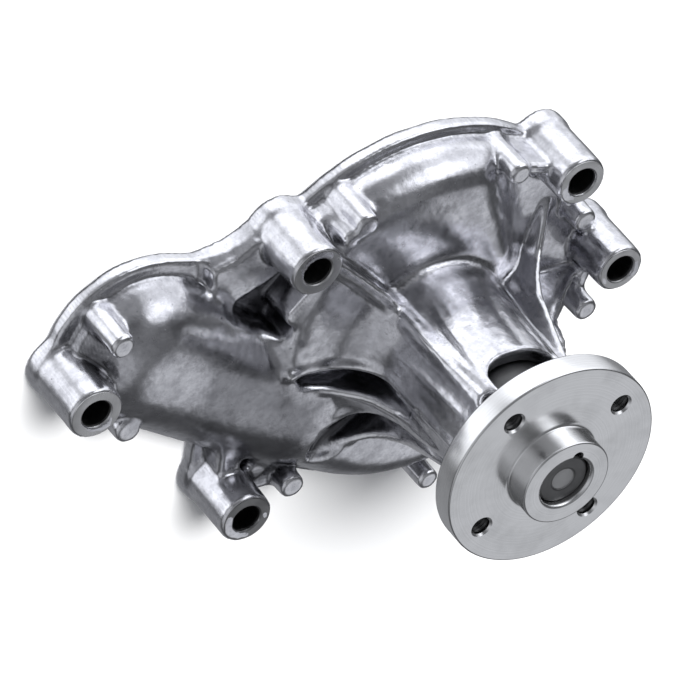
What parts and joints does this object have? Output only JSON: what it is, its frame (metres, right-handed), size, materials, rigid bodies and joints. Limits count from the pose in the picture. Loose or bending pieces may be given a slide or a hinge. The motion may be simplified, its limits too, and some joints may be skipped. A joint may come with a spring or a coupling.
{
  "type": "water pump",
  "caption": "Engine water pump with a die-cast housing, five fixing bosses, a bearing snout and a round drive flange for a pulley.",
  "frame": {"origin": "where the shaft axis meets the plane of the housing's gasket face", "axes": "+Z along the shaft, out of the drive flange; +X towards the side lobe; -Y towards the saddle and upper bosses"},
  "size_m": [0.2205, 0.1476, 0.1061],
  "materials": {
    "cast_aluminium": "as-cast, satin with mottling",
    "turned_steel": "fine turned",
    "bearing_steel": "ground",
    "stainless_sheet": "pressed sheet",
    "cage_nylon": "moulded nylon",
    "black_rubber": "moulded rubber",
    "carbon_graphite": "lapped carbon",
    "ceramic": "lapped ceramic",
    "cast_iron": "as-cast"
  },
  "bodies": {
    "housing": {"pump_body": "cast_aluminium", "bearing_outer_ring": "bearing_steel", "bearing_seal_front": "black_rubber", "bearing_seal_rear": "black_rubber", "seal_case": "stainless_sheet", "seal_spring": "stainless_sheet", "seal_bellows": "black_rubber"},
    "rotor": {"bearing_shaft": "bearing_steel", "hub_flange": "turned_steel", "impeller": "cast_iron", "slinger_ring": "black_rubber", "seal_boot": "black_rubber", "seal_mating_ring": "ceramic"},
    "seal_face": {"seal_carbon_ring": "carbon_graphite", "seal_spring_retainer": "stainless_sheet"},
    "front_balls": {"ball_cage_front": "cage_nylon", "bearing_ball_front_1": "bearing_steel", "bearing_ball_front_2": "bearing_steel", "bearing_ball_front_3": "bearing_steel", "bearing_ball_front_4": "bearing_steel", "bearing_ball_front_5": "bearing_steel", "bearing_ball_front_6": "bearing_steel", "bearing_ball_front_7": "bearing_steel", "bearing_ball_front_8": "bearing_steel"},
    "rear_balls": {"ball_cage_rear": "cage_nylon", "bearing_ball_rear_1": "bearing_steel", "bearing_ball_rear_2": "bearing_steel", "bearing_ball_rear_3": "bearing_steel", "bearing_ball_rear_4": "bearing_steel", "bearing_ball_rear_5": "bearing_steel", "bearing_ball_rear_6": "bearing_steel", "bearing_ball_rear_7": "bearing_steel", "bearing_ball_rear_8": "bearing_steel"}
  },
  "joints": [
    {"name": "shaft_spin", "type": "hinge", "parent": "housing", "child": "rotor", "pos_m": [0, 0, 0.097], "axis": [0, 0, 1], "continuous": true},
    {"name": "front_balls_orbit", "type": "hinge", "parent": "housing", "child": "front_balls", "pos_m": [0, 0, 0.072], "axis": [0, 0, 1], "continuous": true},
    {"name": "rear_balls_orbit", "type": "hinge", "parent": "housing", "child": "rear_balls", "pos_m": [0, 0, 0.046], "axis": [0, 0, 1], "continuous": true},
    {"name": "seal_face_float", "type": "slide", "parent": "housing", "child": "seal_face", "axis": [0, 0, 1], "range_m": [0, 0.0012], "stiffness_N_per_m": 2000, "springref_m": -0.003, "deforming": ["seal_spring", "seal_bellows"]}
  ],
  "couplings": [
    {"joint": "front_balls_orbit", "follows": "shaft_spin", "ratio": 0.3669},
    {"joint": "rear_balls_orbit", "follows": "shaft_spin", "ratio": 0.3669}
  ]
}
